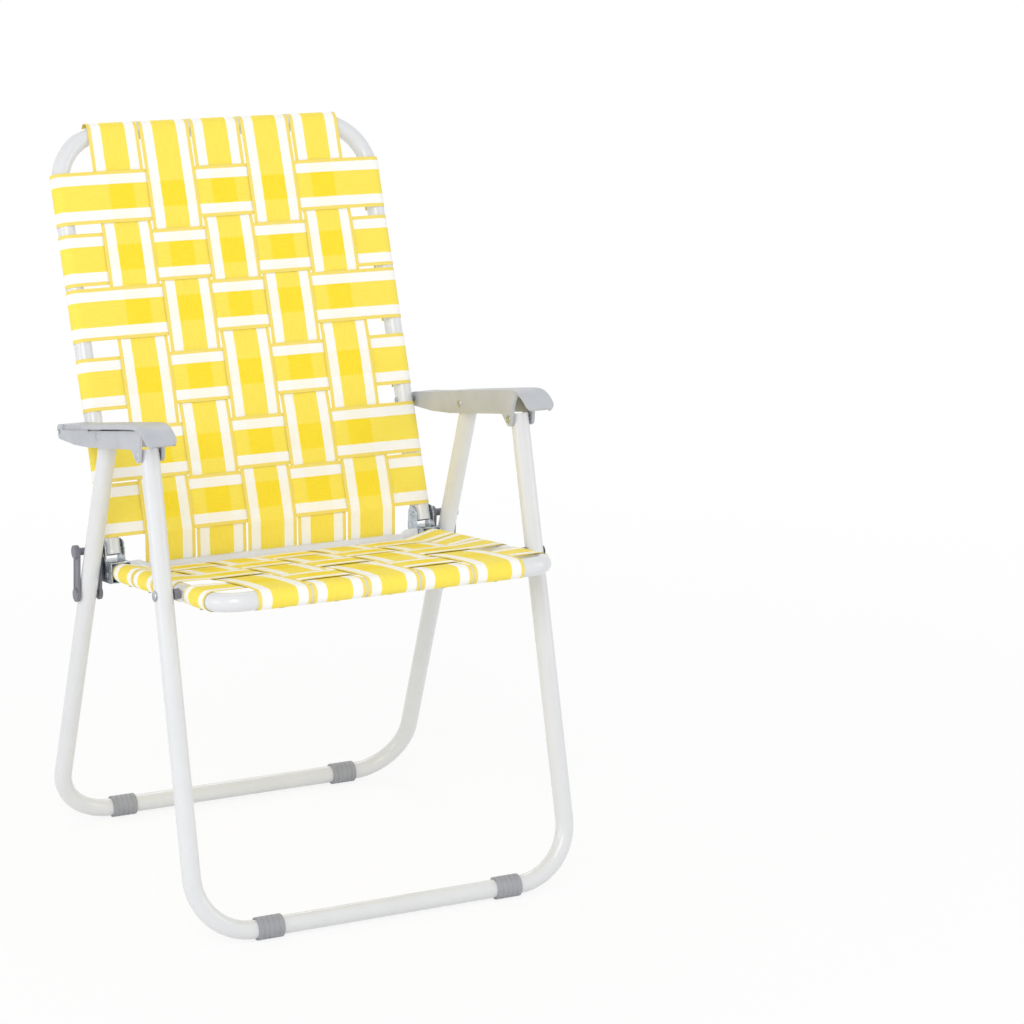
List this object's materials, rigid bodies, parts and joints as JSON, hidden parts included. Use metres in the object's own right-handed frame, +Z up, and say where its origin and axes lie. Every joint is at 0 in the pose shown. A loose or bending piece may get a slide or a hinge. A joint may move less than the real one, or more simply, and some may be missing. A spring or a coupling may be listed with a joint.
{
  "type": "folding webbed lawn chair",
  "caption": "Folding lawn chair of bent steel tube: back, seat and leg frames hinged through plastic arms and links so that it folds flat, with woven webbing for the seat and back.",
  "frame": {"origin": "on the floor, midway between the sides and midway along the open chair's overall length", "axes": "+X to the sitter's left, +Y to the rear of the chair, +Z up; the sitter faces -Y"},
  "size_m": [0.518, 0.559, 0.8865],
  "materials": {
    "white_steel": "gloss white powder coat on steel tube",
    "webbing": "woven polypropylene webbing, golden yellow with white bands",
    "grey_plastic": "moulded mid-grey plastic, slightly satin",
    "dark_plastic": "moulded dark grey plastic",
    "zinc": "zinc plate, bluish and slightly dull"
  },
  "bodies": {
    "rear_leg_frame": {"rear_leg_tube": "white_steel", "link_pin_left": "zinc", "link_pin_right": "zinc", "rear_foot_clip_left": "grey_plastic", "rear_foot_clip_right": "grey_plastic"},
    "front_leg_frame": {"front_leg_tube": "white_steel", "seat_rivet_left": "zinc", "seat_rivet_right": "zinc", "seat_spacer_left": "dark_plastic", "seat_spacer_right": "dark_plastic", "front_foot_clip_left": "grey_plastic", "front_foot_clip_right": "grey_plastic"},
    "arm_left": {"armrest_left": "grey_plastic", "arm_back_rivet_left": "zinc", "arm_rear_leg_rivet_left": "zinc", "arm_front_leg_rivet_left": "zinc"},
    "arm_right": {"armrest_right": "grey_plastic", "arm_back_rivet_right": "zinc", "arm_rear_leg_rivet_right": "zinc", "arm_front_leg_rivet_right": "zinc"},
    "back_frame": {"back_tube": "white_steel", "back_cross_strap_1": "webbing", "back_cross_strap_2": "webbing", "back_cross_strap_3": "webbing", "back_cross_strap_4": "webbing", "back_cross_strap_5": "webbing", "back_cross_strap_6": "webbing", "back_long_strap_1": "webbing", "back_long_strap_2": "webbing", "back_long_strap_3": "webbing", "back_long_strap_4": "webbing", "back_long_strap_5": "webbing", "hinge_rivet_left": "zinc", "hinge_rivet_right": "zinc"},
    "seat_frame": {"seat_tube": "white_steel", "seat_cross_bar": "white_steel", "hinge_bracket_left": "zinc", "hinge_bracket_right": "zinc", "bracket_rivet_left": "zinc", "bracket_rivet_right": "zinc", "seat_cross_strap_1": "webbing", "seat_cross_strap_2": "webbing", "seat_cross_strap_3": "webbing", "seat_cross_strap_4": "webbing", "seat_long_strap_1": "webbing", "seat_long_strap_2": "webbing", "seat_long_strap_3": "webbing", "seat_long_strap_4": "webbing", "seat_long_strap_5": "webbing"},
    "link_left": {"link_inner_plate_left": "dark_plastic", "link_outer_plate_left": "dark_plastic", "link_spacer_left": "dark_plastic"},
    "link_right": {"link_inner_plate_right": "dark_plastic", "link_outer_plate_right": "dark_plastic", "link_spacer_right": "dark_plastic"}
  },
  "joints": [
    {"name": "fold", "type": "hinge", "parent": "rear_leg_frame", "child": "arm_left", "pos_m": [0, 0.00846, 0.54765], "axis": [-1, 0, 0], "range_deg": [0, 55.83]},
    {"name": "arm_right_turn", "type": "hinge", "parent": "rear_leg_frame", "child": "arm_right", "pos_m": [0, 0.00846, 0.54765], "axis": [-1, 0, 0], "range_deg": [0, 55.84]},
    {"name": "back_turn", "type": "hinge", "parent": "arm_left", "child": "back_frame", "pos_m": [0, 0.1401, 0.52955], "axis": [1, 0, 0], "range_deg": [0, 100.19]},
    {"name": "front_leg_turn", "type": "hinge", "parent": "arm_left", "child": "front_leg_frame", "pos_m": [0, -0.12691, 0.55368], "axis": [1, 0, 0], "range_deg": [0, 91.48]},
    {"name": "seat_turn", "type": "hinge", "parent": "back_frame", "child": "seat_frame", "pos_m": [0, 0.08886, 0.39049], "axis": [-1, 0, 0], "range_deg": [0, 102.17]},
    {"name": "link_left_turn", "type": "hinge", "parent": "back_frame", "child": "link_left", "pos_m": [0, 0.08886, 0.39049], "axis": [-1, 0, 0], "range_deg": [0, 188.88]},
    {"name": "link_right_turn", "type": "hinge", "parent": "back_frame", "child": "link_right", "pos_m": [0, 0.08886, 0.39049], "axis": [-1, 0, 0], "range_deg": [0, 188.88]}
  ],
  "couplings": [
    {"joint": "arm_right_turn", "follows": "fold", "ratio": 1},
    {"joint": "back_turn", "follows": "fold", "ratio": 1.7944},
    {"joint": "front_leg_turn", "follows": "fold", "ratio": 1.6384},
    {"joint": "seat_turn", "follows": "fold", "ratio": 1.8298},
    {"joint": "link_left_turn", "follows": "fold", "ratio": 3.383},
    {"joint": "link_right_turn", "follows": "fold", "ratio": 3.383}
  ]
}
